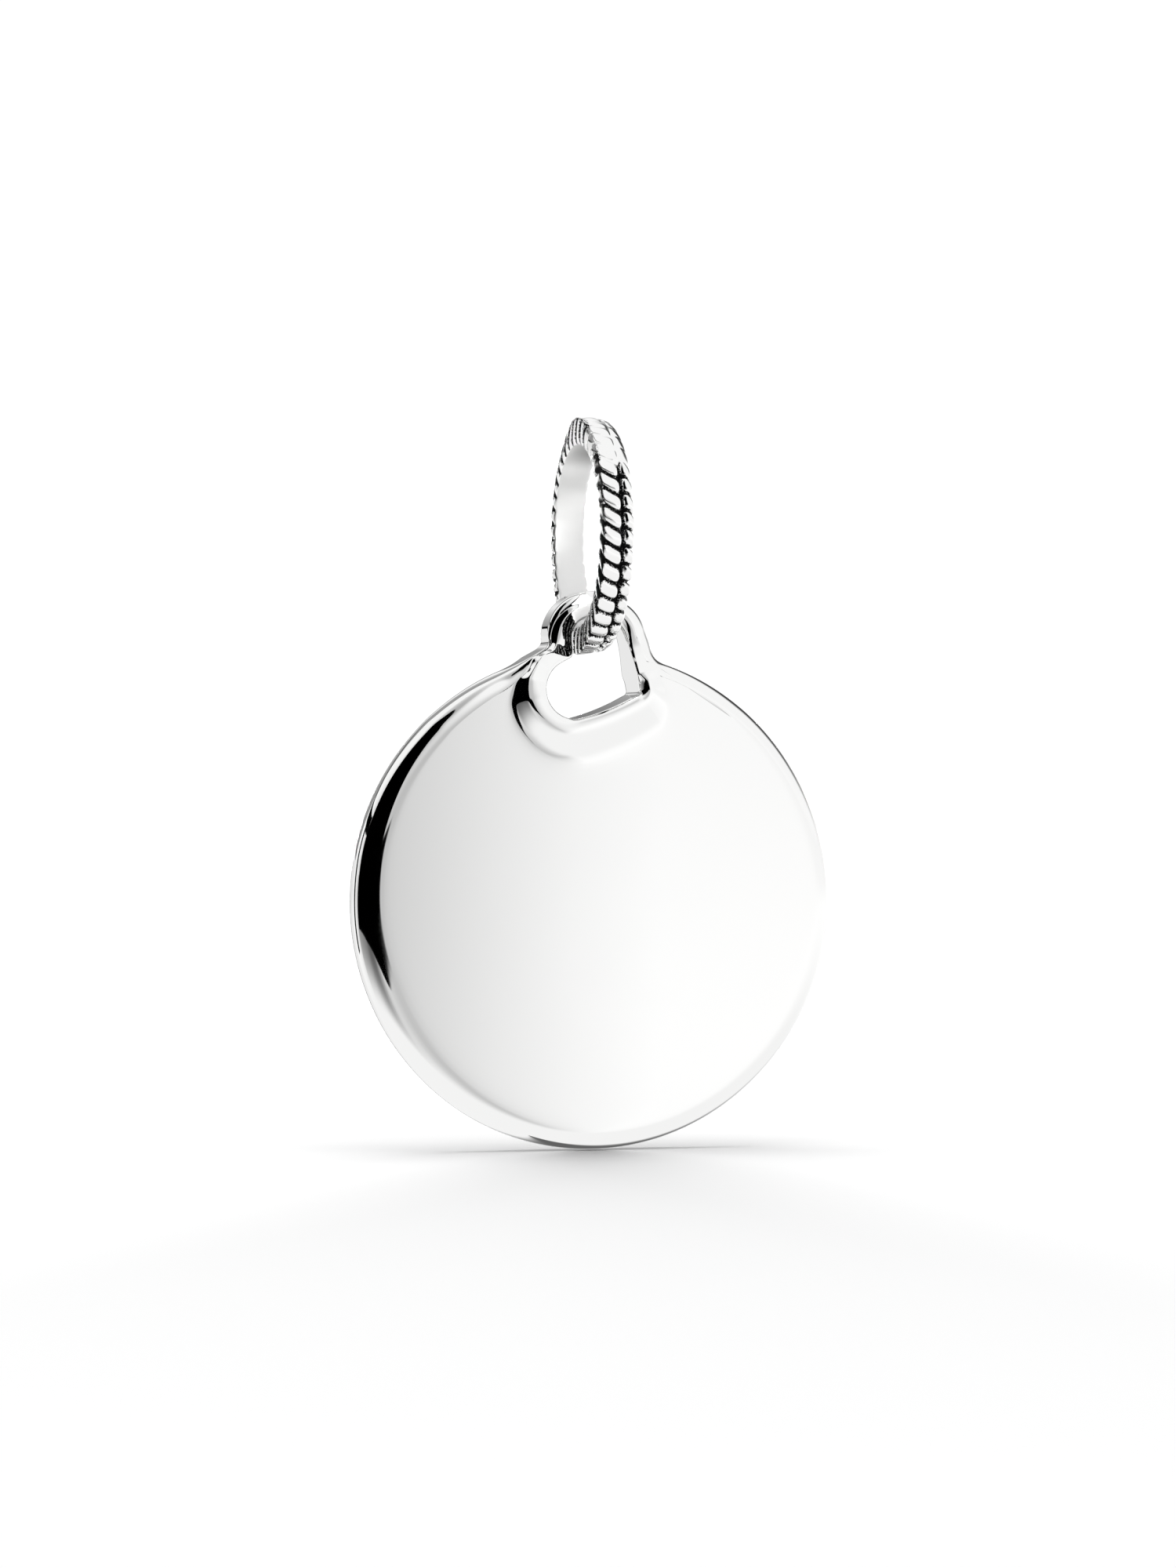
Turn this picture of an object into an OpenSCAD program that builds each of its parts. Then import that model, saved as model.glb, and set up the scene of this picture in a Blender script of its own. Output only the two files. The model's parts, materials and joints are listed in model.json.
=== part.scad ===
// Polished silver disc pendant with a heart shaped loop, hung from a rope edged bail ring.
// Millimetres. Z is up, the disc's front face looks along -Y, and X runs to its right.
// The origin is the top of the ring's inner band, where a chain bears.

/* [Disc] */
// Diameter of the disc
disc_d = 20; // [16:0.5:30]
// Thickness of the disc, whose edge is fully rounded
disc_t = 1.7; // [1.2:0.1:2.2]

/* [Heart loop] */
// Width of the heart shaped hole
heart_w = 3.9; // [3.6:0.1:4.6]
// Width of the loop's rim, seen from the front
rim_w = 1; // [0.8:0.05:1.3]
// Height of the loop's top above the edge of the disc
loop_rise = 2.46; // [2:0.1:3.2]
// Thickness of the loop at its top, where the ring passes
bar_t = 1.5; // [1.2:0.1:1.6]
// Height that the rim stands above each face of the disc
rim_lift = 0.3; // [0.1:0.05:0.5]
// Rounding of the rim towards the hole
hole_round = 0.45; // [0.3:0.05:0.5]
// Rounding of the rim's outer corner where it stands free
rim_round = 0.3; // [0.15:0.05:0.4]

/* [Bail ring] */
// Inner diameter of the ring
ring_inner_d = 7.32; // [6.4:0.1:9]
// Radial thickness of the ring over its strands
ring_t = 1.07; // [0.9:0.05:1.3]
// Width of the ring across its two rows of strands
ring_w = 1.36; // [1.1:0.05:1.5]
// Width of the plain band inside the ring
band_w = 1.25; // [0.9:0.05:1.4]
// Strands in each row
strands = 40; // [30:1:44]
// Depth of the grooves between the strands
groove_depth = 0.16; // [0.05:0.01:0.2]
// Depth of the groove between the two rows
mid_groove = 0.36; // [0.2:0.02:0.5]
// Part of a strand's pitch that it climbs across its row
strand_slant = 1; // [0.5:0.1:1.2]
// Running gap between the ring and the loop that hangs on it
hang_gap = 0.35; // [0.35:0.05:0.5]

/* [Hidden] */

// Steps of the disc's rounded edge and of the rim's rounded corners.
edge_steps = 5;
corner_steps = 3;
// Largest share of the rim's width that its inner and its outer rounding take.
hole_round_share = 0.45;
rim_round_share = 0.35;
// Share of the rim's outer slope on the disc that stays at the crest's height.
crest_share = 0.2;
// Sections of each strand, and steps across a row of strands.
strand_sections = 5;
row_steps = 6;
// Where the strands start on the ring's sides, as a share of ring_t below their crests.
strand_foot = 0.62;
// Roundness of a strand from 2, a half circle, upwards to a flat crest.
strand_power = 2.4;
// Part of a row over which the grooves fade at each end, and their share beside the middle.
groove_run_in = 1 / 3;
groove_run_out = 0.3;
// How far a groove draws the ring's side in, as a share of its depth.
groove_draw = 0.2;

// The casting is one skin of sections that run from the heart's hole to the outer edge.
// Each row of the table is one arc of the hole, counter-clockwise from its upper right:
// HOLE   centre x, centre z and radius as shares of heart_w from the bar's underside, two angles
// OUTER  shift x, shift z and widen as shares of rim_w, two angles; shift and widen turn the
//        hole's arc into the rim's outer arc, and are left at 0 where the edge is the disc's own
// START  and END give lift, foot and round at the row's two ends:
//        lift is 0 for the bar's thickness and 1 for the full height of the rim on the disc,
//        foot is the rim's width on the disc as a share of rim_w, 0 where the rim stands free,
//        round is the rounding of the disc's edge as a share of half the disc's thickness
// STEPS  sections in the row, less one
HOLE = 0;
OUTER = 1;
START = 2;
END = 3;
STEPS = 4;
heart = [
    // upper right of the top lobe
    [[0.113, -0.251, 0.218, 13, 78], [0, 0.04, 0.94, 13, 65], [0, 0, 0], [0, 0, 0], 7],
    // upper left of the top lobe
    [[-0.031, -0.2205, 0.2205, 84, 180], [0, 0.1, 1, 71, 180], [0, 0, 0], [0, 0, 0], 11],
    // notch between the lobes
    [[-0.308, -0.3615, 0.0615, 0, -60], [-1.08, 0.5, 0.06, 0, -60], [0.1, 0, 0], [0.3, 0, 0], 4],
    // left lobe where the rim runs out to the disc's edge
    [[-0.251, -0.741, 0.2974, 120, 140], [0, 0, 0, 110.5, 128], [0.4, 0.9, 0.3], [0.7, 1.1, 0.9], 6],
    // left lobe on the disc
    [[-0.251, -0.741, 0.2974, 144, 280], [0, 0, 0, 131, 235], [0.75, 1.15, 1], [1, 1.3, 1], 28],
    // lower flank
    [[-0.7685, 1.334, 2.436, -75.5, -61], [0, 0, 0, 238, 306], [1, 1.3, 1], [1, 1.1, 1], 19],
    // tip
    [[0.4085, -0.755, 0.0385, -50, 10], [0, 0, 0, 310, 395], [1, 1.1, 1], [1, 1, 1], 23],
    // right flank on the disc
    [[-4.613, -1.585, 5.128, 10.4, 12.8], [0, 0, 0, 399, 435.4], [1, 1, 1], [0.5, 0.9, 0.3], 10],
    // right flank above the disc
    [[-4.613, -1.585, 5.128, 13.3, 14.6], [0, 0, 1, 13.3, 14.6], [0.4, 0, 0], [0.1, 0, 0], 2]
];

disc_r = disc_d / 2;
face_y = disc_t / 2;
rim_half = face_y + rim_lift;
ring_r = ring_inner_d / 2;
outer_r = ring_r + ring_t;
ring_z = -ring_r;

// The bar is the loop's top, the part that rides on the ring: the table's second row.
bar_row = heart[1];
bar_w = rim_w * (bar_row[OUTER][1] + bar_row[OUTER][2]);
bar_under_z = -ring_inner_d + hang_gap;
disc_z = bar_under_z + bar_w - loop_rise - disc_r;
disc_centre = [0, disc_z - bar_under_z];

function mix(a, b, t) = a + (b - a) * t;
function unit(v) = v / norm(v);
function on_circle(c, r, a) = c + r * [cos(a), sin(a)];
function is_on_disc(row) = row[START][1] > 0;

function hole_centre(row) = heart_w * [row[HOLE][0], row[HOLE][1]];
function hole_point(row, t) =
    on_circle(hole_centre(row), heart_w * row[HOLE][2], mix(row[HOLE][3], row[HOLE][4], t));
function rim_point(row, t) =
    on_circle(
        hole_centre(row) + rim_w * [row[OUTER][0], row[OUTER][1]],
        heart_w * row[HOLE][2] + rim_w * row[OUTER][2],
        mix(row[OUTER][3], row[OUTER][4], t)
    );
function disc_point(row, t) =
    on_circle(disc_centre, disc_r, mix(row[OUTER][3], row[OUTER][4], t));

// Roundings as [distance, height] pairs. Neither takes more than its share of the rim's width.
function inner_corner(w, crest) =
    let (r = min(hole_round, hole_round_share * w))
        [
            for (k = [0 : corner_steps])
                let (a = 90 * k / corner_steps)
                    [r * (1 - cos(a)), crest - r * (1 - sin(a))]
        ];
function outer_corner(w, crest) =
    let (r = min(rim_round, rim_round_share * w))
        [
            for (k = [0 : corner_steps])
                let (a = 90 * k / corner_steps)
                    [w - r * (1 - sin(a)), crest - r * (1 - cos(a))]
        ];
function flank(foot, crest) =
    let (start = mix(min(hole_round, hole_round_share * foot), foot, crest_share))
        [
            for (k = [0 : corner_steps])
                let (t = k / corner_steps)
                    [mix(start, foot, t), mix(crest, face_y, (1 - cos(180 * t)) / 2)]
        ];

// Sets [distance, height] pairs out along a direction, as [x, z, height] points.
function set_out(from, out, pairs) = [
    for (p = pairs)
        let (q = from + p[0] * out)
            [q[0], q[1], p[1]]
];

// Half a section where the rim stands free: rounded inside and outside, with a plain side wall.
function free_half(inner, edge, crest) =
    let (
        out = unit(edge - inner),
        w = norm(edge - inner),
        corner = outer_corner(w, crest),
        side = corner[corner_steps][1]
    )
        [
            each set_out(inner, out, inner_corner(w, crest)),
            each set_out(inner, out, corner),
            for (k = [1 : edge_steps])
                [edge[0], edge[1], side * (1 - k / (edge_steps + 1))]
        ];

// Half a section where the rim lies on the disc: rounded inside, a sloping flank outside, then
// the disc's face and its rounded edge.
function disc_half(inner, edge, crest, foot, edge_round) =
    let (
        out = unit(edge - inner),
        inward = unit(disc_centre - edge)
    )
        [
            each set_out(inner, out, inner_corner(foot, crest)),
            each set_out(inner, out, flank(foot, crest)),
            for (k = [0 : edge_steps - 1])
                let (a = 90 * k / edge_steps, q = edge + edge_round * (1 - sin(a)) * inward)
                    [q[0], q[1], face_y * cos(a)]
        ];

function skin_half(row, t) =
    let (
        shape = mix(row[START], row[END], t),
        crest = mix(bar_t / 2, rim_half, shape[0]),
        inner = hole_point(row, t)
    )
        is_on_disc(row)
            ? disc_half(inner, disc_point(row, t), crest, rim_w * shape[1], face_y * shape[2])
            : free_half(inner, rim_point(row, t), crest);

// The whole section: the front half, the point on the middle plane, and the mirrored back half.
function skin_section(row, t) =
    let (
        half = skin_half(row, t),
        last = len(half) - 1,
        edge = is_on_disc(row) ? disc_point(row, t) : rim_point(row, t)
    )
        [
            for (p = half)
                [p[0], -p[2], p[1]],
            [edge[0], 0, edge[1]],
            for (k = [0 : last])
                let (p = half[last - k])
                    [p[0], p[2], p[1]]
        ];

// A closed tube through a loop of sections, each with the same number of points.
module closed_tube(sections) {
    count = len(sections);
    sides = len(sections[0]);
    polyhedron(
        points = [for (s = sections) each s],
        faces = [
            for (i = [0 : count - 1])
                for (j = [0 : sides - 1])
                    let (
                        i2 = (i + 1) % count,
                        j2 = (j + 1) % sides,
                        a = i * sides + j,
                        b = i * sides + j2,
                        c = i2 * sides + j2,
                        d = i2 * sides + j
                    )
                        each [[a, b, c], [a, c, d]]
        ],
        convexity = 6
    );
}

module pendant_disc() {
    color("silver")
        translate([0, 0, bar_under_z])
            closed_tube([
                for (row = heart)
                    for (k = [0 : row[STEPS]])
                        skin_section(row, k / row[STEPS])
            ]);
}

// Share of the groove depth at a place across a strand, 0 on its crest and 1 in the groove.
function groove(phase) =
    let (t = 2 * abs(phase - floor(phase) - 0.5))
        1 - sqrt(max(0, 1 - pow(t, strand_power)));

// A point of a row of strands. side is -1 for the left row and 1 for the right row.
// u runs from the ring's side (0) over the crest to the groove between the rows (1).
function row_point(turn, side, u) =
    let (
        half_w = ring_w / 2,
        a = 180 * (1 - u),
        low = mix(strand_foot * ring_t, mid_groove, u),
        fade = min(1, u / groove_run_in, (1 - u) / groove_run_in + groove_run_out),
        slant = side < 0 ? strand_slant * u : strand_slant * (2 - u),
        g = groove_depth * fade * groove(strands * turn / 360 - slant),
        reach = half_w / 2 * (1 - cos(a)),
        rise = outer_r - low * (1 - sin(a))
    )
        [side * reach * (1 - groove_draw * g / half_w), rise - g];

// One section of the ring at an angle about its axis, as [x, radius] pairs.
function ring_section(turn) = [
    [band_w / 2, ring_r - ring_t / 4],
    [-band_w / 2, ring_r - ring_t / 4],
    for (k = [0 : row_steps])
        row_point(turn, -1, k / row_steps),
    for (k = [1 : row_steps])
        row_point(turn, 1, 1 - k / row_steps)
];

module bail_ring() {
    turns = strands * strand_sections;
    color("silver")
        translate([0, 0, ring_z])
            difference() {
                closed_tube([
                    for (i = [0 : turns - 1])
                        let (turn = 360 * i / turns)
                            [
                                for (p = ring_section(turn))
                                    [p[0], p[1] * cos(turn), p[1] * sin(turn)]
                            ]
                ]);
                rotate([0, 90, 0])
                    cylinder(h = 2 * ring_w, r = ring_r, center = true, $fn = 180);
            }
}

pendant_disc();
bail_ring();
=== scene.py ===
# %% [markdown]
# # A polished silver disc pendant
# The real thing is two pieces of silver. One is a casting: a thick coin with a heart shaped loop
# on its upper edge. The other is a rope edged ring that a chain runs through.
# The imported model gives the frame: where each piece is, how big it is and what it rides on.
# Everything here is made round that frame, in metres, so nothing is fitted by eye.

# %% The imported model
import json
import math

import bmesh
import bpy
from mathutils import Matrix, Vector


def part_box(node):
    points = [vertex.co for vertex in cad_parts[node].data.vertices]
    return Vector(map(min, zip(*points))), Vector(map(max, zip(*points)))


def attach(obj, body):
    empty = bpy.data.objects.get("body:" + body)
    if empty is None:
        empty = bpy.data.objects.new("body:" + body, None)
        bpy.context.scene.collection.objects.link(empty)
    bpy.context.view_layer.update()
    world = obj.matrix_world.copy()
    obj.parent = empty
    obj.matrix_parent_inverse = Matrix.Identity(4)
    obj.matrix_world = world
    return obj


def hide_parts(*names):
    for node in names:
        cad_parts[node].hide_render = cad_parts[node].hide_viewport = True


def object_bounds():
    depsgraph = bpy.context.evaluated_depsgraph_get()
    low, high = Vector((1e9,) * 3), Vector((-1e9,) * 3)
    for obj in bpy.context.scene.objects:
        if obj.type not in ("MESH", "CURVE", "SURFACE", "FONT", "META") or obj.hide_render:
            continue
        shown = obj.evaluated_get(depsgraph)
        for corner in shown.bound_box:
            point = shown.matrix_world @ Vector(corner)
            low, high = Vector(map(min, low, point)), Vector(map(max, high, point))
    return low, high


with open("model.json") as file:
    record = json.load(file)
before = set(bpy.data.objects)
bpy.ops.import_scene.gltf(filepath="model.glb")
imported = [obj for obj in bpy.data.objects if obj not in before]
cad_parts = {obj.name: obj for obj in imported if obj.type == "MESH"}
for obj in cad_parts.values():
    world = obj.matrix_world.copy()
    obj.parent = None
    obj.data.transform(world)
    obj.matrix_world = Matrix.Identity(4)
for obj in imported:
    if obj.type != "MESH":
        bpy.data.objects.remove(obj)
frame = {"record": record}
cad_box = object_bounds()
MM = 0.001

# %% [markdown]
# ## Sizes from the frame
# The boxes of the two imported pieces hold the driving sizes: the disc's diameter is the pendant's
# width, and the ring's outer diameter is its height. Reading them keeps this scene true to the
# model when a size changes there.

# %% Sizes from the frame
pendant_low, pendant_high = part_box("pendant_disc")
ring_low, ring_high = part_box("bail_ring")

disc_r = (pendant_high[0] - pendant_low[0]) / 2
disc_z = pendant_low[2] + disc_r
ring_outer_r = (ring_high[2] - ring_low[2]) / 2
ring_z = (ring_high[2] + ring_low[2]) / 2
print(f"disc radius {disc_r / MM:.2f} mm, ring radius {ring_outer_r / MM:.2f} mm")

# %% [markdown]
# ## The camera
# The photograph looks at the disc from its left and level with its middle, through a long lens.
# A long lens far away keeps the circle from bulging. The frame is tall, and a camera's sensor
# width covers the longer side, so the lens is worked out from the frame's height.

# %% The camera
PHOTO_AZIMUTH = math.radians(-17)
PHOTO_ELEVATION = math.radians(0)
CAMERA_DISTANCE = 230 * MM
CLIP_FROM, CLIP_TO = 10 * MM, 4
FRAME_HEIGHT = 63.07 * MM
SENSOR = 36
AIM_LEFT = 0.11 * MM

object_centre = (cad_box[0] + cad_box[1]) / 2
camera_back = Vector((
    math.sin(PHOTO_AZIMUTH) * math.cos(PHOTO_ELEVATION),
    -math.cos(PHOTO_AZIMUTH) * math.cos(PHOTO_ELEVATION),
    math.sin(PHOTO_ELEVATION),
))
camera_right = Vector((math.cos(PHOTO_AZIMUTH), math.sin(PHOTO_AZIMUTH), 0))
aim = object_centre - camera_right * AIM_LEFT
bpy.ops.object.camera_add(location=aim + camera_back * CAMERA_DISTANCE)
camera = bpy.context.object
camera.name = "camera"
camera.rotation_euler = (-camera_back).to_track_quat("-Z", "Y").to_euler()
camera.data.sensor_width = SENSOR
camera.data.lens = SENSOR * CAMERA_DISTANCE / FRAME_HEIGHT
camera.data.clip_start = CLIP_FROM
camera.data.clip_end = CLIP_TO
bpy.context.scene.camera = camera
print(f"lens {camera.data.lens:.0f} mm")

# %% [markdown]
# ## Helpers for modelling loop by loop
# Both pieces are skins: a closed loop of edges that is pulled out step by step. By hand that is
# a circle, then extrude, then move and scale, over and over. The operators do the extruding.
# The loops here change their outline at every step, which no move or scale can do, so each new
# loop is laid on its outline point by point.

# %% Helpers
def deselect_all():
    if bpy.context.object is not None and bpy.context.object.mode == "EDIT":
        bpy.ops.object.mode_set(mode="OBJECT")
    bpy.ops.object.select_all(action="DESELECT")


def lay_selected(piece, outline):
    """Moves each selected point to its own place on the next outline, by the number it carries."""
    mesh = bmesh.from_edit_mesh(piece.data)
    number = mesh.verts.layers.int["place"]
    for point in mesh.verts:
        if point.select:
            point.co = outline[point[number]]
    bmesh.update_edit_mesh(piece.data)


def pull_skin(name, loops):
    """Starts from a circle of edges laid on the first loop, and extrudes it on to each next one."""
    deselect_all()
    bpy.ops.mesh.primitive_circle_add(vertices=len(loops[0]), radius=disc_r)
    piece = bpy.context.object
    piece.name = name
    places = piece.data.attributes.new("place", "INT", "POINT")
    places.data.foreach_set("value", range(len(loops[0])))
    bpy.ops.object.transform_apply()
    bpy.ops.object.mode_set(mode="EDIT")
    lay_selected(piece, loops[0])
    for outline in loops[1:]:
        bpy.ops.mesh.extrude_region_move()
        lay_selected(piece, outline)
    bpy.ops.object.mode_set(mode="OBJECT")
    return piece


def apply_modifier(piece, kind, **settings):
    modifier = piece.modifiers.new(kind.title(), kind)
    for key, value in settings.items():
        setattr(modifier, key, value)
    bpy.context.view_layer.objects.active = piece
    bpy.ops.object.modifier_apply(modifier=modifier.name)


# %% [markdown]
# ## The outline of the heart
# The hole is a leaning heart made of arcs, as a jeweller would draw it with a compass. Each row
# below is one stretch of it, counter-clockwise from the upper right, with what lies outside it:
# the rim's own edge where the loop stands free, or the edge of the disc. The last numbers shape
# the metal between the two, at the row's start and at its end, in millimetres. They could be one
# set for the whole rim, but the photograph shows that it changes: a plain narrow loop at the top,
# a broad sloping flank at the left lobe and a soft roll at the tip.

# %% The outline of the heart
HEART_W = 3.9 * MM
RIM_W = 1.0 * MM
BAR_W = 1.1 * RIM_W
bar_under_z = pendant_high[2] - BAR_W
disc_centre = (0, disc_z - bar_under_z)


def mix(a, b, t):
    return a + (b - a) * t


def on_circle(centre, radius, degrees):
    turn = math.radians(degrees)
    return (centre[0] + radius * math.cos(turn), centre[1] + radius * math.sin(turn))


def along(points, t):
    """The place at share t of a chain of points."""
    at = t * (len(points) - 1)
    k = min(int(at), len(points) - 2)
    return tuple(mix(a, b, at - k) for a, b in zip(points[k], points[k + 1]))


def arc(x, z, radius, *degrees):
    """An arc in shares of the heart's width, through those angles."""
    centre = (x * HEART_W, z * HEART_W)
    return lambda t: on_circle(centre, radius * HEART_W, along([(d,) for d in degrees], t)[0])


def rim(x, z, radius, shift_x, shift_z, widen, start, stop):
    """The rim's free edge: the hole's arc, shifted and widened in shares of the rim's width."""
    centre = (x * HEART_W + shift_x * RIM_W, z * HEART_W + shift_z * RIM_W)
    return lambda t: on_circle(centre, radius * HEART_W + widen * RIM_W, mix(start, stop, t))


def disc_edge(*degrees):
    return lambda t: on_circle(disc_centre, disc_r, along([(d,) for d in degrees], t)[0])


def chain(*points):
    """Points in millimetres from the bar's underside."""
    return lambda t: along([(x * MM, z * MM) for x, z in points], t)


# hole, outer edge, then seven sizes at the row's start and the same at its end, then steps.
# The sizes in millimetres: half the thickness at the crest, half of it on the web outside, how
# far from the hole the crest's bevel starts and ends, the outer rounding and the inner one. The
# last is a share: 1 where the section runs straight to the rim's own edge, 0 where it leaves the
# hole squarely.
HEART = [
    (arc(0.113, -0.251, 0.218, 13, 78), rim(0.113, -0.251, 0.218, 0, 0.04, 0.94, 13, 65),
     (0.79, 0.79, 0.4, 0.6, 0.55, 0.2, 1), (0.75, 0.75, 0.4, 0.6, 0.42, 0.4, 1), 8),
    (arc(-0.031, -0.2205, 0.2205, 84, 180), rim(-0.031, -0.2205, 0.2205, 0, 0.1, 1, 71, 180),
     (0.75, 0.75, 0.45, 0.6, 0.40, 0.42, 1), (0.79, 0.58, 0.66, 0.90, 0.10, 0.20, 1), 12),
    (arc(-0.308, -0.3615, 0.0615, 0, -52),
     chain((-1.93, -0.90), (-1.94, -1.0), (-1.98, -1.11), (-2.08, -1.21)),
     (0.81, 0.60, 0.80, 0.99, 0.05, 0.13, 1), (0.90, 0.68, 0.82, 0.99, 0.05, 0.13, 1), 5),
    (chain((-1.13, -1.64), (-1.5, -1.83), (-1.735, -2.0), (-1.87, -2.145)),
     chain((-2.2, -1.29), (-2.37, -1.385), (-2.5, -1.46), (-2.62, -1.53)),
     (0.93, 0.72, 0.82, 1.00, 0.05, 0.13, 1), (1.03, 0.84, 0.68, 0.88, 0.05, 0.15, 1), 6),
    (arc(-0.251, -0.741, 0.2974, 144, 151, 158, 165),
     chain((-2.74, -1.60), (-2.97, -1.74), (-3.25, -1.89), (-3.68, -2.09)),
     (1.05, 0.85, 0.69, 0.94, 0.06, 0.16, 0.9), (1.11, 0.85, 0.79, 1.14, 0.6, 0.16, 0.1), 6),
    (arc(-0.251, -0.741, 0.2974, 168, 192), disc_edge(113.5, 121.5, 132, 135),
     (1.12, 0.85, 0.80, 1.20, 0.75, 0.16, 0), (1.15, 0.85, 0.80, 1.42, 0.85, 0.15, 0), 6),
    (arc(-0.251, -0.741, 0.2974, 196, 226), disc_edge(139.5, 152, 165, 170),
     (1.15, 0.85, 0.78, 1.42, 0.85, 0.15, 0), (1.15, 0.85, 0.66, 1.45, 0.85, 0.15, 0), 8),
    (arc(-0.251, -0.741, 0.2974, 230, 280), disc_edge(174, 190, 207, 222, 235),
     (1.15, 0.85, 0.64, 1.46, 0.85, 0.15, 0), (1.15, 0.85, 0.45, 1.7, 0.85, 0.15, 0), 12),
    (arc(-0.7685, 1.334, 2.436, -75.5, -61), disc_edge(238, 306),
     (1.15, 0.85, 0.45, 1.7, 0.85, 0.15, 0), (1.15, 0.85, 0.45, 1.6, 0.85, 0.16, 0), 18),
    (arc(0.4085, -0.755, 0.0385, -50, 10), disc_edge(310, 395),
     (1.15, 0.85, 0.45, 1.6, 0.85, 0.22, 0), (1.15, 0.85, 0.5, 1.1, 0.7, 0.34, 0), 21),
    (arc(-4.613, -1.585, 5.128, 10.4, 11.2), disc_edge(398, 409),
     (1.15, 0.85, 0.5, 1.1, 0.7, 0.32, 0), (1.13, 0.85, 0.5, 1.1, 0.65, 0.12, 0), 4),
    (arc(-4.613, -1.585, 5.128, 11.4, 12.8), disc_edge(411, 434.6),
     (1.13, 0.85, 0.5, 1.1, 0.65, 0.12, 0), (0.99, 0.90, 0.5, 0.75, 0.6, 0.14, 0.7), 7),
    (arc(-4.613, -1.585, 5.128, 13.2, 14.6), rim(-4.613, -1.585, 5.128, 0, 0, 1, 13.2, 14.6),
     (0.92, 0.90, 0.5, 0.7, 0.6, 0.15, 1), (0.81, 0.81, 0.5, 0.6, 0.58, 0.18, 1), 3),
]
# how far along the bevel, and how far it has fallen there
BEVEL = [(0, 0), (0.16, 0.07), (0.84, 0.93), (1, 1)]
# the share of the crest's height up to which the hole's wall is one flat face
WALL_SHARE = 0.4
# how much of a section's width its outer rounding and its bevel may take up
EDGE_LIMIT, FOOT_LIMIT = 0.6, 0.96
# how far to each side, as a share of a row, the hole's direction is taken
NUDGE = 0.01
CORNER_STEPS = 3
FACE_STEPS = 5
EDGE_STEPS = 9
print(len(HEART), "stretches of outline")

# %% [markdown]
# ## Sections of the casting
# The casting's metal lies between the hole and the outer edge. A section across it rises from the
# hole's wall round a small rounding to the rim's crest, goes down the rim's flank, over the
# polished face and round the coin's full edge. The disc could be a cylinder with the heart cut
# from it by a Boolean, but the rim melts into the loop and into the coin's edge, and a Boolean
# leaves a crease there that a mirror finish shows at once. Sections side by side give one skin.

# %% Sections of the casting
def step_along(a, b, distance):
    """The point that far from a towards b."""
    length = math.dist(a, b)
    return (mix(a[0], b[0], distance / length), mix(a[1], b[1], distance / length))


def squarely(hole, t):
    """The direction that leaves the hole at a right angle to its outline."""
    (x0, z0), (x1, z1) = hole(max(0, t - NUDGE)), hole(min(1, t + NUDGE))
    length = math.dist((x0, z0), (x1, z1))
    return ((z1 - z0) / length, (x0 - x1) / length)


def edge_path(level, rounding):
    """From the surface round the outer corner and down to the middle plane: (inset, height)."""
    drop = min(level, rounding)
    bend = math.pi / 2 * rounding
    whole = bend + level - drop
    for k in range(1, EDGE_STEPS + 1):
        done = whole * k / EDGE_STEPS
        if done < bend:
            turn = done / rounding
            yield rounding * (1 - math.sin(turn)), level - drop * (1 - math.cos(turn))
        else:
            yield 0, max(0, whole - done)


def section(row, t):
    """Half a section, from the hole's wall on the middle plane to the outer edge there.
    Each point is (x, height, z), with x and z measured from the bar's underside."""
    hole, outer, start, end, _ = row
    *sizes, straight = (mix(a, b, t) for a, b in zip(start, end))
    crest, level, first, foot, edge_round, hole_round = (size * MM for size in sizes)
    inner, edge = hole(t), outer(t)
    width = math.dist(inner, edge)
    edge_round = min(edge_round, EDGE_LIMIT * width)
    foot = min(foot, mix(hole_round, width - edge_round, FOOT_LIMIT))
    square = squarely(hole, t)
    out = tuple(mix(s, (b - a) / width, straight) for s, a, b in zip(square, inner, edge))
    out = tuple(v / math.hypot(*out) for v in out)

    def from_hole(distance, height):
        return ((inner[0] + out[0] * distance, inner[1] + out[1] * distance), height)

    points = [(inner, 0), (inner, WALL_SHARE * crest)]
    for k in range(CORNER_STEPS + 1):
        turn = math.pi / 2 * k / CORNER_STEPS
        points.append(from_hole(
            hole_round * (1 - math.cos(turn)), crest - hole_round * (1 - math.sin(turn))))
    for share, fall in BEVEL:
        points.append(from_hole(mix(first, foot, share), mix(crest, level, fall)))
    foot_point = points[-1][0]
    inward = tuple(mix(a, b, straight) for a, b in zip(disc_centre, inner))
    edge_start = step_along(edge, inward, edge_round)
    for k in range(1, FACE_STEPS + 1):
        share = (1 - math.cos(math.pi * k / FACE_STEPS)) / 2
        points.append((tuple(mix(a, b, share) for a, b in zip(foot_point, edge_start)), level))
    for inset, height in edge_path(level, edge_round):
        points.append((step_along(edge, inward, inset), height))
    return [(x, -height, bar_under_z + z) for (x, z), height in points]


sections = [section(row, k / row[4]) for row in HEART for k in range(row[4] + 1)]
loops = [[s[j] for s in sections] for j in range(len(sections[0]))]
print(len(sections), "sections of", len(loops), "points")

# %% [markdown]
# ## The casting
# The real one is cast in one piece and then polished on both faces. So only the front half is
# pulled out here, loop by loop from the hole to the edge. A mirror makes the back, and
# subdivision rounds the whole as the buffing wheel does.

# %% The casting
casting = pull_skin("pendant_casting", loops)
apply_modifier(casting, "MIRROR", use_axis=(False, True, False), merge_threshold=1e-7)
apply_modifier(casting, "SUBSURF", levels=2, render_levels=2)
deselect_all()
casting.select_set(True)
bpy.context.view_layer.objects.active = casting
bpy.ops.object.mode_set(mode="EDIT")
bpy.ops.mesh.select_all(action="SELECT")
bpy.ops.mesh.normals_make_consistent(inside=False)
bpy.ops.object.mode_set(mode="OBJECT")
bpy.ops.object.shade_smooth()
print(len(casting.data.polygons), "faces")
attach(casting, "pendant")
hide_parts("pendant_disc")

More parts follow.
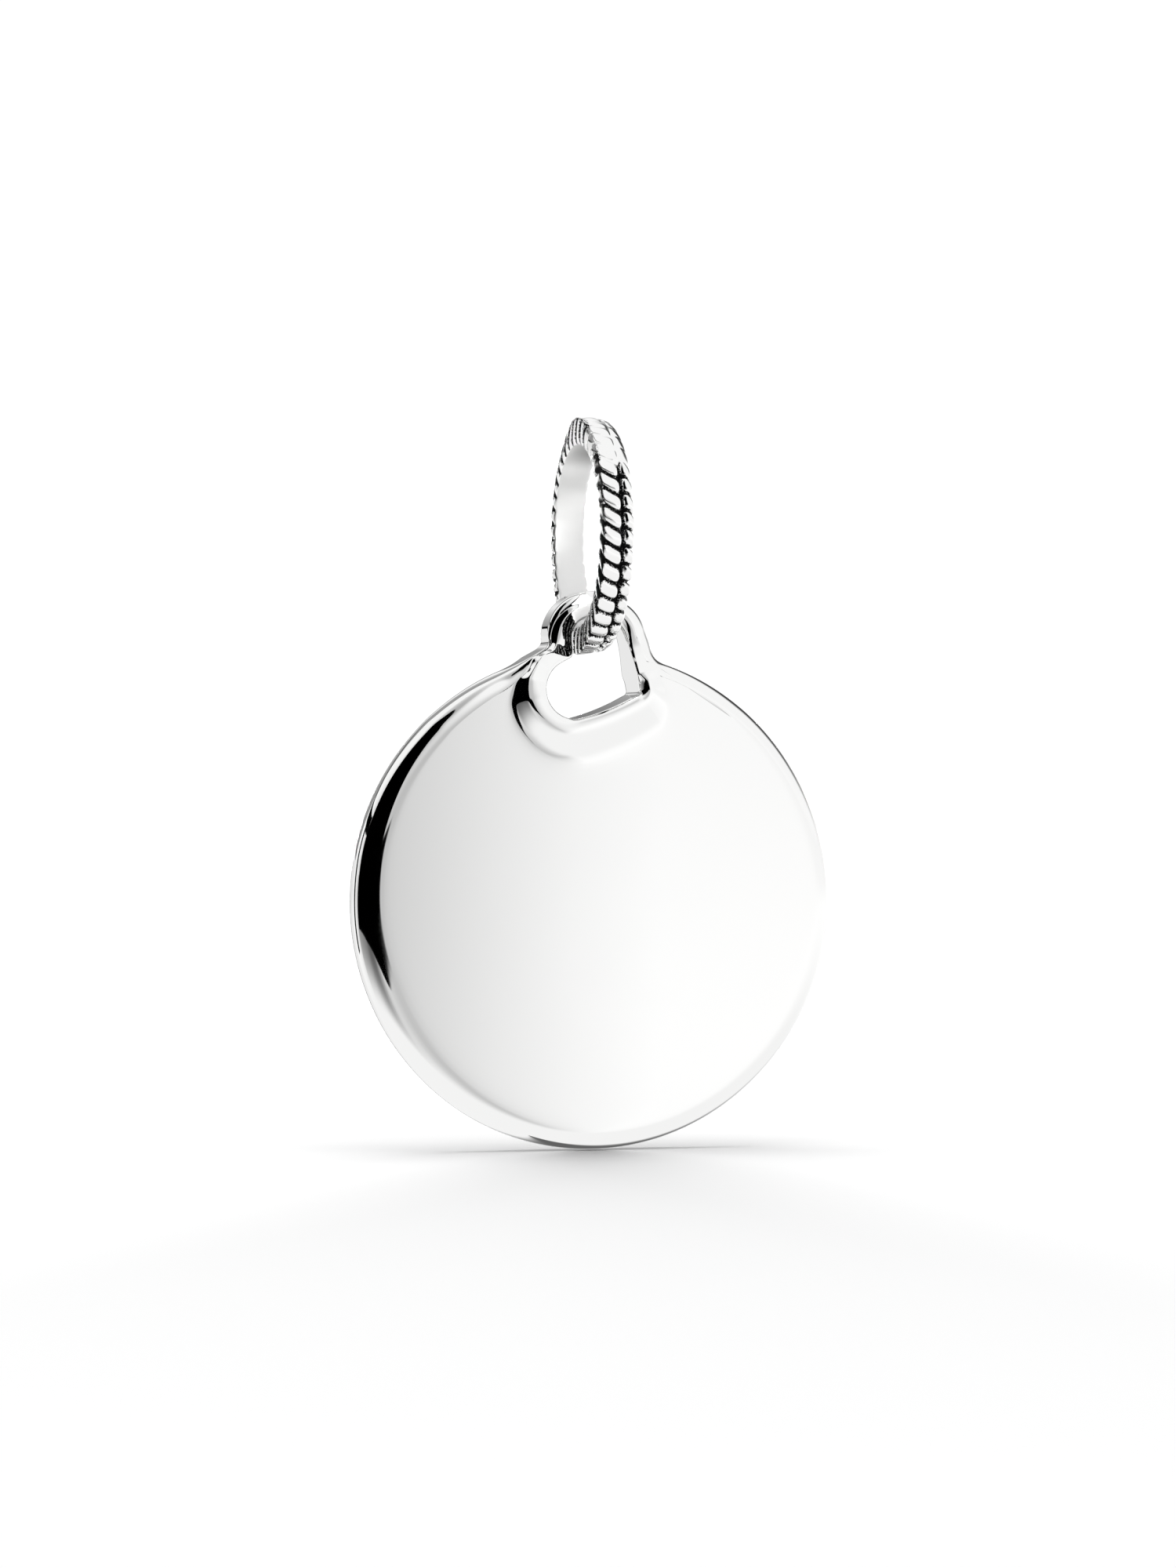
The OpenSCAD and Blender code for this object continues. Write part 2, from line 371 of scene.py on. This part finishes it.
# %% [markdown]
# ## The section of the ring
# The real ring is a band with a plain bore and two rows of slanting strands outside, a broad
# row on the left and a narrow one on the right, with a blackened groove between them.
# The section below is the smooth envelope over the strands. Each line also says how far the
# strands have dropped along the ring on their way across, how deep the grooves are there, and
# how near that point is to the end of a strand at the middle groove.

# %% The section of the ring
STRANDS = 40
bore_r = frame["record"]["mounts"][0]["dims"]["r_mm"] * MM

# across mm, height over the bore mm, drop in pitches, groove depth mm, nearness to a strand's end
RING_SECTION = [
    (-0.580, 0.000, 0.00, 0.00, 0.0),
    (-0.630, 0.040, 0.05, 0.07, 0.0),
    (-0.665, 0.140, 0.10, 0.12, 0.0),
    (-0.695, 0.300, 0.16, 0.15, 0.0),
    (-0.715, 0.480, 0.22, 0.17, 0.0),
    (-0.728, 0.660, 0.29, 0.18, 0.0),
    (-0.735, 0.840, 0.36, 0.18, 0.0),
    (-0.735, 0.980, 0.44, 0.18, 0.0),
    (-0.728, 1.070, 0.50, 0.18, 0.0),
    (-0.705, 1.112, 0.54, 0.18, 0.0),
    (-0.660, 1.122, 0.58, 0.18, 0.0),
    (-0.600, 1.1225, 0.63, 0.18, 0.0),
    (-0.500, 1.119, 0.71, 0.18, 0.0),
    (-0.400, 1.115, 0.79, 0.18, 0.0),
    (-0.300, 1.109, 0.85, 0.18, 0.0),
    (-0.200, 1.102, 0.90, 0.18, 0.05),
    (-0.100, 1.093, 0.94, 0.19, 0.2),
    (-0.010, 1.082, 0.97, 0.20, 0.45),
    (0.060, 1.071, 0.985, 0.22, 0.75),
    (0.100, 1.063, 0.99, 0.25, 0.92),
    (0.125, 1.057, 0.99, 0.27, 1.0),
    (0.170, 1.052, 0.87, 0.28, 1.0),
    (0.215, 1.047, 0.76, 0.27, 1.0),
    (0.240, 1.042, 0.76, 0.24, 0.9),
    (0.285, 1.034, 0.77, 0.20, 0.65),
    (0.350, 1.020, 0.79, 0.18, 0.3),
    (0.430, 0.992, 0.83, 0.17, 0.05),
    (0.520, 0.945, 0.89, 0.17, 0.0),
    (0.600, 0.860, 0.96, 0.17, 0.0),
    (0.660, 0.730, 1.03, 0.17, 0.0),
    (0.690, 0.550, 1.11, 0.16, 0.0),
    (0.700, 0.350, 1.19, 0.14, 0.0),
    (0.695, 0.170, 1.27, 0.11, 0.0),
    (0.680, 0.050, 1.34, 0.06, 0.0),
    (0.650, 0.000, 1.40, 0.00, 0.0),
]
BAND_STEPS = 8
# where the lines along a strand run, in shares of its pitch
PHASES = [0, 0.06, 0.10, 0.14, 0.20, 0.30, 0.42, 0.58, 0.70, 0.80, 0.86, 0.90, 0.94, 1]
# how far from the crest the groove's flat floor starts, and how full a strand's pillow is
FLAT_FLOOR = 0.82
PILLOW = 2.6
# how far a strand leans in at its upper side in mm, and the groove's depth from which it does
LEAN, LEAN_FROM_DEPTH = 0.02, 0.1
RING_YAW = math.radians(-2.4)
# the middle of the section, towards which the grooves sink: across and height in mm
CORE = (0.0, 0.45)

band_from, band_to = RING_SECTION[-1], RING_SECTION[0]
ring_profile = RING_SECTION + [
    tuple(mix(a, b, k / BAND_STEPS) for a, b in zip(band_from, band_to))
    for k in range(1, BAND_STEPS)
]


def groove_share(phase, nearness):
    """0 on the crest of a strand and 1 on the groove's floor, like a pillow seen from above."""
    off_crest = min(1, abs(2 * phase - 1) / FLAT_FLOOR)
    rest = 1 - off_crest ** PILLOW - nearness ** PILLOW
    return 1 - math.sqrt(max(0, rest))


def ring_point(across, height, turn):
    """A place over the bore, at a turn about the ring's axis that starts at the front."""
    radius = bore_r + height
    return Vector((across, -radius * math.cos(turn), ring_z + radius * math.sin(turn)))


def strand_loop(phase):
    """One line round the section that runs along the strands, at that phase of their pitch."""
    pitch = 2 * math.pi / STRANDS
    loop = []
    for across, height, drop, depth, nearness in ring_profile:
        share = groove_share(phase, nearness)
        lean = LEAN * min(1, depth / LEAN_FROM_DEPTH) * (1 - share) * (1 - phase)
        sunk = depth * share + lean
        share = 1 - sunk / math.dist(CORE, (across, height))
        loop.append(ring_point(
            mix(CORE[0], across, share) * MM,
            mix(CORE[1], height, share) * MM,
            (phase - drop) * pitch,
        ))
    return loop


# %% [markdown]
# ## One strand, then the whole ring
# On the real ring each strand is the same pillow, cast again and again round the band. So one
# strand is pulled out along its pitch, and spun round the ring's axis as often as there are
# strands. An array on a curve would do as well, but a spin closes the ring exactly, and merging
# the doubles makes it one skin.

# %% One strand, then the whole ring
ring = pull_skin("bail_ring_strands", [strand_loop(p) for p in PHASES])
print(len(ring.data.vertices), "points in one strand")
deselect_all()
ring.select_set(True)
bpy.context.view_layer.objects.active = ring
bpy.ops.object.mode_set(mode="EDIT")
bpy.ops.mesh.select_all(action="SELECT")
bpy.ops.mesh.spin(
    steps=STRANDS - 1, dupli=True, angle=2 * math.pi * (STRANDS - 1) / STRANDS,
    center=(0, 0, ring_z), axis=(1, 0, 0),
)
bpy.ops.mesh.select_all(action="SELECT")
bpy.ops.mesh.remove_doubles(threshold=1e-6)
bpy.ops.mesh.normals_make_consistent(inside=False)
bpy.ops.object.mode_set(mode="OBJECT")
print(len(ring.data.vertices), "points in the ring")

# %% [markdown]
# ## Wear, oxide and painted shade
# The top of the real ring is worn nearly smooth, and black oxide stays in the grooves, where no
# polishing wheel reaches. Black is also painted on as shade: on the near left wall below its
# crest, and on the far side's left wall high up and in its grooves there. This could be sculpted
# and painted, but a rule for each point gives the same every time. It moves the points at the top
# out to a rounder section, draws the far side's wall in, and leaves two attributes for the
# material: how black a point is, from oxide and painted shade together, and whether it lies on
# the dull bore. Last the ring is turned a little about the upright axis, as it hangs in the
# photograph.

# %% Wear, oxide and painted shade
# The worn part, in degrees up from the front: its lower end, and its upper end on top and on the
# left wall. Then how softly it ends, how far it is worn, and the radii of its round section.
WORN_FROM, WORN_TO, WALL_WORN_TO = 33, 96, 60
FADE_IN, FADE_OUT = 6, 14
WORN_SHARE = 0.85
ROUND_TO = (0.72, 0.68)
ROUNDED = 0.5
# Each pair is where an effect starts and where it is full: across the section or its height in
# mm, a turn from the front in degrees, or a groove's depth in mm.
WALL_TO_TOP = (-0.66, -0.50)
LEFT_WALL = (-0.60, -0.72)
# the turns from the front over which the far side's painted shade sets in
FAR_SHADE_TURNS = (100, 118)
SLIM_TURN, SLIM_ACROSS = (70, 130), (-0.2, -0.6)
FAR_SLIM, SLIM_FROM = 0.34, 0.25
GROOVE_DEPTH = (0.02, 0.08)
BLACK_ON_TOP, BLACK_ON_WALL = (0.5, 0.95), (0.1, 0.45)
# Black painted on as shade: on the near left wall below its crest about the front, and on the far
# side's left wall high up. Where each starts and is full, then how black it is.
NEAR_SHADE_ACROSS, NEAR_SHADE_HEIGHT = (-0.69, -0.71), (1.13, 1.07)
NEAR_SHADE_UPPER_END, NEAR_SHADE_LOWER_END = (48, 38), (-45, -25)
FAR_SHADE_ACROSS, FAR_SHADE_HEIGHT = (-0.45, -0.62), (0.62, 0.78)
NEAR_PAINTED_SHADE, FAR_PAINTED_SHADE = 1.7, 1.4
SHALLOWEST = 0.01


def smooth(low, high, value):
    t = min(1, max(0, (value - low) / (high - low)))
    return t * t * (3 - 2 * t)


def worn_share(across, turn):
    """How far the ring is worn smooth there."""
    worn_to = mix(WALL_WORN_TO, WORN_TO, smooth(*WALL_TO_TOP, across))
    return (WORN_SHARE * smooth(WORN_FROM, WORN_FROM + FADE_IN, turn)
            * smooth(worn_to + FADE_OUT, worn_to, turn))


def blackness(across, height, depth, shown, worn, turn):
    """How black, from blackened grooves and painted shade. Above 1 the grit lets no silver through.
    """
    wall = smooth(*LEFT_WALL, across)
    black_from, black_to = (mix(a, b, wall) for a, b in zip(BLACK_ON_TOP, BLACK_ON_WALL))
    groove = smooth(*GROOVE_DEPTH, depth) * smooth(black_from, black_to, shown) * (1 - worn)
    # painted shade: black on the near left wall below its crest, about the front
    near_wall_shade = (smooth(*NEAR_SHADE_ACROSS, across) * smooth(*NEAR_SHADE_HEIGHT, height)
                 * smooth(*NEAR_SHADE_UPPER_END, turn) * smooth(*NEAR_SHADE_LOWER_END, turn))
    # painted shade on the far side: black on its left wall high up, and its wall's grooves blacker
    far = smooth(*FAR_SHADE_TURNS, abs(turn))
    far_edge_shade = far * smooth(*FAR_SHADE_HEIGHT, height) * smooth(*FAR_SHADE_ACROSS, across)
    return max(groove * (1 + far * wall), NEAR_PAINTED_SHADE * near_wall_shade, FAR_PAINTED_SHADE * far_edge_shade)


# one attribute holds both the oxide in the grooves and the black painted on as shade
oxide_and_shade = ring.data.attributes.new("oxide_and_shade", "FLOAT", "POINT")
satin = ring.data.attributes.new("satin", "FLOAT", "POINT")
for point, number, dark, plain in zip(
        ring.data.vertices, ring.data.attributes["place"].data, oxide_and_shade.data, satin.data):
    across, height, _, depth, _ = ring_profile[number.value]
    y, z = point.co[1], point.co[2] - ring_z
    radius = math.hypot(y, z)
    turn = math.degrees(math.atan2(z, -y))
    away = math.dist(CORE, (across, height))
    sunk = away - math.dist(CORE, (point.co[0] / MM, (radius - bore_r) / MM))
    worn = worn_share(across, turn)
    if height > CORE[1]:
        rounded = 1 / math.hypot(
            (across - CORE[0]) / away / ROUND_TO[0], (height - CORE[1]) / away / ROUND_TO[1])
        sunk = mix(sunk, ROUNDED * (away - rounded), worn)
    share = 1 - sunk / away
    slim = (FAR_SLIM * smooth(*SLIM_TURN, abs(turn)) * max(0, height - SLIM_FROM)
            * smooth(*SLIM_ACROSS, across))
    point.co = ring_point(
        (mix(CORE[0], across, share) + slim) * MM, mix(CORE[1], height, share) * MM,
        math.radians(turn))
    dark.value = blackness(across, height, depth, sunk / max(depth, SHALLOWEST), worn, turn)
    plain.value = 1 if height == 0 else 0
apply_modifier(ring, "SUBSURF", levels=1, render_levels=1)
deselect_all()
ring.select_set(True)
bpy.context.view_layer.objects.active = ring
bpy.ops.object.mode_set(mode="EDIT")
bpy.ops.mesh.select_all(action="SELECT")
bpy.ops.transform.rotate(value=-RING_YAW, orient_axis="Z", center_override=(0, 0, ring_z))
bpy.ops.object.mode_set(mode="OBJECT")
bpy.ops.object.shade_smooth()
print(len(ring.data.polygons), "faces")
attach(ring, "bail")
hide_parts("bail_ring")

# %% [markdown]
# ## Shorthands for node trees
# Both materials and the tent are made of nodes. By hand they would be dropped in and wired one by
# one. These shorthands do the same, so that each material reads as a few lines.

# %% Node helpers
def node(tree, kind, sockets=None, **settings):
    made = tree.nodes.new("ShaderNode" + kind)
    for key, value in settings.items():
        setattr(made, key, value)
    for key, value in (sockets or {}).items():
        if isinstance(value, bpy.types.NodeSocket):
            tree.links.new(value, made.inputs[key])
        else:
            made.inputs[key].default_value = value
    return made


def calc(tree, operation, *values, clamp=False):
    made = node(tree, "Math", dict(enumerate(values)), operation=operation, use_clamp=clamp)
    return made.outputs[0]


def ramp_between(tree, value, low, high, to_low=0, to_high=1, kind="SMOOTHSTEP"):
    made = node(tree, "MapRange", {
        "Value": value, "From Min": low, "From Max": high, "To Min": to_low, "To Max": to_high,
    }, interpolation_type=kind)
    return made.outputs["Result"]


def grain(tree, size, detail):
    """Noise in the object's own coordinates, with lumps about that size."""
    place = node(tree, "TexCoord").outputs["Object"]
    made = node(tree, "TexNoise", {"Vector": place, "Scale": 1 / size, "Detail": detail})
    return made.outputs["Fac"]


# %% [markdown]
# ## Polished silver
# Polished silver has no colour of its own: it shows the room. So its shader is a metal with a
# very low roughness that varies a little, because no buffing wheel leaves the same polish
# everywhere. A painted gloss would look alike from one side only.

# %% Polished silver
BRIGHT = (0.93, 0.93, 0.925, 1)
CLOUD_SIZE, CLOUD_DETAIL = 3 * MM, 2
# how rough the polish is where the noise is low and where it is high
CLOUD_RANGE, POLISH = (0.3, 0.7), (0.02, 0.045)

silver = bpy.data.materials.new("polished_silver")
silver.use_nodes = True
tree = silver.node_tree
shader = tree.nodes["Principled BSDF"]
shader.inputs["Metallic"].default_value = 1
shader.inputs["Base Color"].default_value = BRIGHT
cloudy = grain(tree, CLOUD_SIZE, CLOUD_DETAIL)
rough = ramp_between(tree, cloudy, *CLOUD_RANGE, *POLISH)
tree.links.new(rough, shader.inputs["Roughness"])
casting.data.materials.clear()
casting.data.materials.append(silver)
print(silver.name, "of", len(tree.nodes), "nodes")

# %% [markdown]
# ## Oxidised silver and painted shade
# The ring's grooves are blackened with liver of sulphur and left rough, and the crests are
# polished bright again. The attribute that was kept while modelling says how black a point is,
# from that oxide and from the shade painted on the ring's near wall and far side, and fine noise
# breaks the border up into grit, as the polishing leaves it. The black parts are no metal here,
# because a black metal still shines when it is seen at a slant. The bore is duller than the
# strands, since a wheel hardly gets in there.

# %% Oxidised silver and painted shade
# the one black for the oxide and for the painted shade
OXIDE_AND_SHADE_BLACK = (0.006, 0.006, 0.006, 1)
DULL_GREY = (0.3, 0.3, 0.3, 1)
OXIDE_SHINE = 0.01
DULL_SHARE = 0.24
GRIT_SIZE, GRIT_DETAIL, GRIT_STRENGTH = 0.06 * MM, 3, 4.2
# The attributes' values between which black sets in, grit sets in, a crest turns into a groove
# and a strand into the bore
BORDER, BARE_UNDER = (0.22, 0.42), (0.05, 0.25)
CREST_TO_GROOVE, STRAND_TO_BORE = (0.0, 0.6), (0.5, 1)
CREST_ROUGH, GROOVE_ROUGH, BORE_ROUGH = 0.04, 0.5, 0.38
PIT_STRENGTH, PIT_DEPTH = 0.6, 0.02 * MM

worked = bpy.data.materials.new("oxidised_silver")
worked.use_nodes = True
tree = worked.node_tree
shader = tree.nodes["Principled BSDF"]
depth = node(tree, "Attribute", attribute_name="oxide_and_shade").outputs["Fac"]
plain = node(tree, "Attribute", attribute_name="satin").outputs["Fac"]
grit = grain(tree, GRIT_SIZE, GRIT_DETAIL)
uneven = calc(tree, "MULTIPLY", calc(tree, "SUBTRACT", grit, 0.5), GRIT_STRENGTH)
black = ramp_between(tree, calc(tree, "ADD", depth, uneven), *BORDER)
black = calc(tree, "MULTIPLY", black, ramp_between(tree, depth, *BARE_UNDER))
tree.links.new(calc(tree, "SUBTRACT", 1, black), shader.inputs["Metallic"])
shader.inputs["Specular IOR Level"].default_value = OXIDE_SHINE
# black comes in for the oxide and for the painted shade alike
colour = node(tree, "Mix", {"Factor": black, "A": BRIGHT, "B": OXIDE_AND_SHADE_BLACK}, data_type="RGBA")
dull = node(tree, "Mix", {
    "Factor": ramp_between(tree, plain, *STRAND_TO_BORE, 0, DULL_SHARE),
    "A": colour.outputs["Result"], "B": DULL_GREY,
}, data_type="RGBA")
tree.links.new(dull.outputs["Result"], shader.inputs["Base Color"])
rough = ramp_between(tree, depth, *CREST_TO_GROOVE, CREST_ROUGH, GROOVE_ROUGH)
bore_rough = ramp_between(tree, plain, *STRAND_TO_BORE, 0, BORE_ROUGH)
tree.links.new(calc(tree, "MAXIMUM", rough, bore_rough), shader.inputs["Roughness"])
pits = node(tree, "Bump", {
    "Height": grit, "Strength": calc(tree, "MULTIPLY", depth, PIT_STRENGTH), "Distance": PIT_DEPTH,
})
tree.links.new(pits.outputs["Normal"], shader.inputs["Normal"])
ring.data.materials.clear()
ring.data.materials.append(worked)
print(worked.name, "of", len(tree.nodes), "nodes")

# %% [markdown]
# ## The studio
# The pendant hangs so low that it just touches a white sweep. A tent of white cloth stands round
# it. A mirror finish shows the tent, so the shapes that read as silver are the dark things in it:
# a black flag to the left of the camera, a window frame beyond it and the gap behind the sweep.
# The tent is the world here, by direction: azimuth 0 is straight in front of the disc and grows
# to the right, elevation grows upwards. Each dark thing is a shape in those two angles, in
# degrees. Real flags and a real window would do the same from one place, but they would stand in
# the way of every other view.
# What the paper below gets is set apart: soft light from everywhere, more from high up, and a
# low narrow strip behind, which gives the short soft shadow under the disc.

# %% The studio
# The flag: its right tip, its lower edge and its upper edge, as (azimuth, elevation)
FLAG_LEFT, TIP = -93, 16
FLAG_LOW = [(-93, -9), (-70, -10.5), (-50, -11.5), (-30, -11), (-15, -10), (0, -7.5),
            (14, -2), (TIP, -1)]
FLAG_HIGH = [(-93, 22), (-91, 30), (-88, 37), (-82, 45), (-75, 52), (-60, 58), (-45, 57),
             (-32, 51), (-25, 45), (-22, 40), (-20, 34), (-15, 25), (-10, 16), (-5, 10),
             (0, 5.5), (5, 2.5), (12, 0.5), (14, -2), (TIP, -4)]
# The tent's glow just under the flag and just over it, as (azimuth, brightness on screen)
GLOW_LEFT = [(-180, 1.0), (-170, 0.9), (-150, 0.9), (-125, 0.97)]
GLOW_RIGHT = [(14, 0.75), (15, 0.82), (16, 0.905), (17, 0.97), (18, 1), (30, 1)]
GLOW_BELOW = GLOW_LEFT + [(-100, 0.86), (-93, 0.6), (-60, 0.48), (-40, 0.37), (-20, 0.6),
                          (0, 0.82), (12, 0.78)] + GLOW_RIGHT
GLOW_ABOVE = GLOW_LEFT + [(-100, 0.88), (-93, 0.84), (-60, 0.75), (-30, 0.67),
                          (0, 0.78), (12, 0.75)] + GLOW_RIGHT
# Over how many degrees that glow fades into the tent's own, below and above
FADE_BELOW, TENT_BELOW = 26, 0.95
FADE_ABOVE, TENT_ABOVE = 28, 0.96
# The window: an upright post, and a bar whose lower edge falls from one azimuth to another
POST_AZIMUTH, POST_ELEVATION = (-122, -112), (-15, 24)
BAR_AZIMUTH, BAR_FALL, BAR_THICK = (-157, -93), (-157, -130, 31, 20), 5
# The far wall starts left of an azimuth and over an elevation, with a dark line along its foot
FAR_WALL_RIGHT, FAR_WALL_LOW, FAR_LINE_HIGH = -140, 7.2, 8.6
FAR_LINE_DARK = 0.9
FAR_GREY = (-180, -162, 0.95, 0.62)
# Soft dark parts: where each edge starts and is full, then the share of light they take away
RIGHT_AZIMUTH, RIGHT_ELEVATION = ((96, 128), (165, 145)), ((6, 22), (46, 34))
RIGHT_DARK = 0.75
LOW_AZIMUTH, LOW_ELEVATION, LOW_DARK = ((120, 150), (179, 166)), (-12, -38), 0.6
HORIZON, HORIZON_DARK = ((-3, 2), (14, 6)), 0.028
# The gap behind: its azimuth, its radius outside and inside, and what is left of the light
BEHIND, BEHIND_OUTER, BEHIND_INNER, BEHIND_LIGHT = 171, 21, 9, 0.5
SCREEN_GAMMA, MIRRORED = 2.2, 1.08
EDGE_SOFTNESS = 0.4
# What the paper gets: all round, over a high elevation, and from the low strip behind
SOFT_LIGHT = 0.41
OVERHEAD, OVERHEAD_LIGHT = (63, 67), 2.2
STRIP_LOW, STRIP_HIGH, STRIP_HALF, STRIP_LIGHT = 0, 5, 20, 360.0
SKY = 1.06
CURVE_RANGE = (-20, 60)


def curve_through(tree, value, points, low, high):
    """Reads a curve drawn through the listed points over value. Heights run from low to high."""
    first, last = points[0][0], points[-1][0]
    share = ramp_between(tree, value, first, last, kind="LINEAR")
    made = node(tree, "FloatCurve", {"Value": share})
    line = made.mapping.curves[0]
    while len(line.points) < len(points):
        line.points.new(0.5, 0.5)
    for spot, (x, y) in zip(line.points, points):
        spot.location = ((x - first) / (last - first), (y - low) / (high - low))
        spot.handle_type = "AUTO_CLAMPED"
    made.mapping.update()
    return ramp_between(tree, made.outputs["Value"], 0, 1, low, high, "LINEAR")


def crisp(tree, value):
    """0 where value is under zero and 1 over it, with just enough slope to be smooth."""
    return calc(tree, "ADD", calc(tree, "DIVIDE", value, EDGE_SOFTNESS), 0.5, clamp=True)


def inside(tree, value, low, high):
    return calc(tree, "MULTIPLY", crisp(tree, calc(tree, "SUBTRACT", value, low)),
                crisp(tree, calc(tree, "SUBTRACT", high, value)))


def between(tree, value, rise, fall):
    """1 between two soft edges and 0 outside them."""
    risen, falling = ramp_between(tree, value, *rise), ramp_between(tree, value, *fall)
    return calc(tree, "MULTIPLY", risen, falling)


def darken(tree, light, shape, share):
    """Takes that share of the light away where shape is 1."""
    left = calc(tree, "SUBTRACT", 1, calc(tree, "MULTIPLY", shape, share))
    return calc(tree, "MULTIPLY", light, left)


def blend(tree, factor, a, b):
    return node(tree, "Mix", {"Factor": factor, "A": a, "B": b}).outputs["Result"]


world = bpy.data.worlds.new("white_tent")
bpy.context.scene.world = world
world.use_nodes = True
tree = world.node_tree
background = tree.nodes["Background"]
direction = node(tree, "TexCoord").outputs["Generated"]
towards = node(tree, "SeparateXYZ", {0: direction}).outputs
azimuth = calc(tree, "ARCTAN2", towards[0], calc(tree, "MULTIPLY", towards[1], -1))
azimuth = calc(tree, "DEGREES", azimuth)
elevation = calc(tree, "DEGREES", calc(tree, "ARCSINE", towards[2]))

flag_low = curve_through(tree, azimuth, FLAG_LOW, *CURVE_RANGE)
flag_high = curve_through(tree, azimuth, FLAG_HIGH, *CURVE_RANGE)
flag = calc(tree, "MULTIPLY", inside(tree, elevation, flag_low, flag_high),
            inside(tree, azimuth, FLAG_LEFT, TIP))
post = calc(tree, "MULTIPLY", inside(tree, azimuth, *POST_AZIMUTH),
            inside(tree, elevation, *POST_ELEVATION))
bar_low = ramp_between(tree, azimuth, *BAR_FALL, "LINEAR")
bar = calc(tree, "MULTIPLY", inside(tree, azimuth, *BAR_AZIMUTH),
           inside(tree, elevation, bar_low, calc(tree, "ADD", bar_low, BAR_THICK)))
frame_dark = calc(tree, "MAXIMUM", flag, calc(tree, "MAXIMUM", post, bar))

down = ramp_between(tree, calc(tree, "SUBTRACT", flag_low, elevation), 0, FADE_BELOW)
up = ramp_between(tree, calc(tree, "SUBTRACT", elevation, flag_high), 0, FADE_ABOVE)
glow_down = blend(tree, down, curve_through(tree, azimuth, GLOW_BELOW, 0, 1), TENT_BELOW)
glow_up = blend(tree, up, curve_through(tree, azimuth, GLOW_ABOVE, 0, 1), TENT_ABOVE)
flag_middle = calc(tree, "MULTIPLY", calc(tree, "ADD", flag_low, flag_high), 0.5)
over = crisp(tree, calc(tree, "SUBTRACT", elevation, flag_middle))
glow = blend(tree, over, glow_down, glow_up)

far_wall = calc(tree, "MULTIPLY", crisp(tree, calc(tree, "SUBTRACT", FAR_WALL_RIGHT, azimuth)),
                crisp(tree, calc(tree, "SUBTRACT", elevation, FAR_WALL_LOW)))
far_line = calc(tree, "MULTIPLY", far_wall,
                crisp(tree, calc(tree, "SUBTRACT", FAR_LINE_HIGH, elevation)))
right = calc(tree, "MULTIPLY", between(tree, azimuth, *RIGHT_AZIMUTH),
             between(tree, elevation, *RIGHT_ELEVATION))
low = calc(tree, "MULTIPLY", between(tree, azimuth, *LOW_AZIMUTH),
           ramp_between(tree, elevation, *LOW_ELEVATION))
far_grey = blend(tree, far_wall, 1.0, ramp_between(tree, azimuth, *FAR_GREY))
gap = darken(tree, far_grey, far_line, FAR_LINE_DARK)
gap = darken(tree, gap, right, RIGHT_DARK)
gap = darken(tree, gap, low, LOW_DARK)
gap = darken(tree, gap, between(tree, elevation, *HORIZON), HORIZON_DARK)
back = Vector((math.sin(math.radians(BEHIND)), -math.cos(math.radians(BEHIND)), 0))
facing = node(tree, "VectorMath", {0: direction, 1: back}, operation="DOT_PRODUCT")
gap = calc(tree, "MULTIPLY", gap, ramp_between(
    tree, facing.outputs["Value"], math.cos(math.radians(BEHIND_OUTER)),
    math.cos(math.radians(BEHIND_INNER)), 1, BEHIND_LIGHT))

seen = darken(tree, calc(tree, "MULTIPLY", glow, gap), frame_dark, 1)
mirrored = calc(tree, "MULTIPLY", calc(tree, "POWER", seen, SCREEN_GAMMA), MIRRORED)
off_camera = calc(tree, "ABSOLUTE", calc(tree, "SUBTRACT", azimuth, math.degrees(PHOTO_AZIMUTH)))
off_back = calc(tree, "ABSOLUTE", calc(tree, "SUBTRACT", 180, off_camera))
strip = calc(tree, "MULTIPLY", inside(tree, elevation, STRIP_LOW, STRIP_HIGH),
             crisp(tree, calc(tree, "SUBTRACT", STRIP_HALF, off_back)))
light = ramp_between(tree, elevation, *OVERHEAD, SOFT_LIGHT, SOFT_LIGHT + OVERHEAD_LIGHT)
light = calc(tree, "ADD", light, calc(tree, "MULTIPLY", strip, STRIP_LIGHT))
ray = node(tree, "LightPath").outputs
light = blend(tree, ray["Is Camera Ray"], light, SKY)
strength = blend(tree, ray["Is Glossy Ray"], light, mirrored)
tree.links.new(strength, background.inputs["Strength"])
background.inputs["Color"].default_value = (1, 1, 1, 1)
print("studio of", len(tree.nodes), "nodes")

# %% [markdown]
# ## The sweep
# The pendant just touches white paper that runs on to the horizon. Curved paper would show no
# more, since both are white up to the sky. The silver doesn't mirror the paper but the tent's
# lower half in its place, so that all it shows is set in one place.

# %% The sweep
SWEEP_SIZE = 3
PAPER = (0.97, 0.97, 0.97, 1)

deselect_all()
bpy.ops.mesh.primitive_plane_add(size=SWEEP_SIZE, location=(0, 0, cad_box[0][2]))
sweep = bpy.context.object
sweep.name = "sweep"
bpy.ops.object.transform_apply()
sweep.visible_glossy = False
paper = bpy.data.materials.new("white_paper")
paper.use_nodes = True
shader = paper.node_tree.nodes["Principled BSDF"]
shader.inputs["Base Color"].default_value = PAPER
shader.inputs["Roughness"].default_value = 1
shader.inputs["Specular IOR Level"].default_value = 0
sweep.data.materials.append(paper)
scene = bpy.context.scene
scene.cycles.caustics_reflective = False
scene.view_settings.view_transform = "Standard"
print("sweep", SWEEP_SIZE, "m across")
